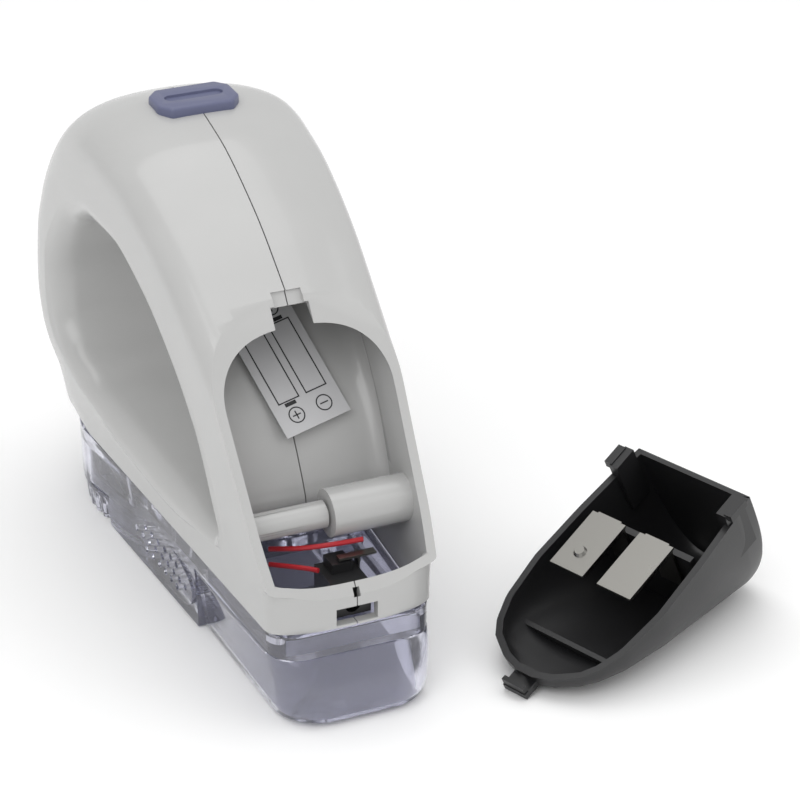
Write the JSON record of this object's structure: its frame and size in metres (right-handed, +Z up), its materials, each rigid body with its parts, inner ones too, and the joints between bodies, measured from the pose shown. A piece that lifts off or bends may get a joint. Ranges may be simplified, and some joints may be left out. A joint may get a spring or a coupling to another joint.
{
  "type": "fabric shaver",
  "caption": "Battery fabric shaver with a loop handle, slide switch, spinning blades behind a round foil, sliding lint container and a lift-off battery cover.",
  "frame": {"origin": "on the flat underside of the lint container, on the body's middle plane", "axes": "+Z up, +Y towards the shaving head, X across the body"},
  "size_m": [0.137, 0.1657, 0.1129],
  "materials": {
    "shell_white": "gloss",
    "clear_lilac": "clear gloss",
    "grey_plastic": "satin",
    "steel": "satin",
    "black_moulding": "satin",
    "copper": "satin",
    "brass": "satin",
    "violet_plastic": "satin",
    "nickel": "satin",
    "label": "matt printed foil",
    "wire_red": "satin sleeve",
    "charcoal": "satin"
  },
  "bodies": {
    "body": {"base_frame": "clear_lilac", "battery_label": "label", "bay_contact_plate": "nickel", "bay_contact_spring": "nickel", "boss_screw": "steel", "contact_board": "grey_plastic", "foil_disc": "steel", "foil_frame": "grey_plastic", "front_base_screw_left": "steel", "front_base_screw_right": "steel", "jack_body": "black_moulding", "jack_leaf": "nickel", "jack_pin": "steel", "jack_terminal": "nickel", "left_shell": "shell_white", "motor_bush": "brass", "motor_can": "steel", "motor_end_cap": "black_moulding", "rear_base_screw_left": "steel", "rear_base_screw_right": "steel", "right_shell": "shell_white", "switch_housing": "grey_plastic", "switch_leaf_1": "nickel", "switch_leaf_2": "nickel", "wire_jack_front": "wire_red", "wire_jack_rear": "wire_red", "wire_side": "wire_red"},
    "rotor": {"motor_shaft": "steel", "rotor_core": "copper", "fan_impeller": "grey_plastic", "blade_carrier": "grey_plastic", "blade_1": "steel", "blade_2": "steel", "blade_3": "steel"},
    "ring": {"height_ring": "clear_lilac"},
    "container": {"lint_container": "clear_lilac"},
    "switch": {"slide_switch": "violet_plastic", "switch_slider": "grey_plastic"},
    "cover": {"battery_cover": "charcoal", "contact_leaf_1": "nickel", "contact_leaf_2": "nickel"}
  },
  "joints": [
    {"name": "rotor_spin", "type": "hinge", "parent": "body", "child": "rotor", "pos_m": [0, 0.072, 0.015], "axis": [0, 0, 1], "continuous": true},
    {"name": "ring_turn", "type": "hinge", "parent": "body", "child": "ring", "pos_m": [0, 0.072, 0.004], "axis": [0, 0, 1], "range_deg": [0, 40]},
    {"name": "container_slide", "type": "slide", "parent": "body", "child": "container", "axis": [0, -1, 0], "range_m": [0, 0.07]},
    {"name": "switch_slide", "type": "slide", "parent": "body", "child": "switch", "axis": [0, 1, 0], "range_m": [0, 0.005]},
    {"name": "cover_lift", "type": "slide", "parent": "body", "child": "cover", "axis": [0, 0, 1], "range_m": [0, 0.06]}
  ]
}
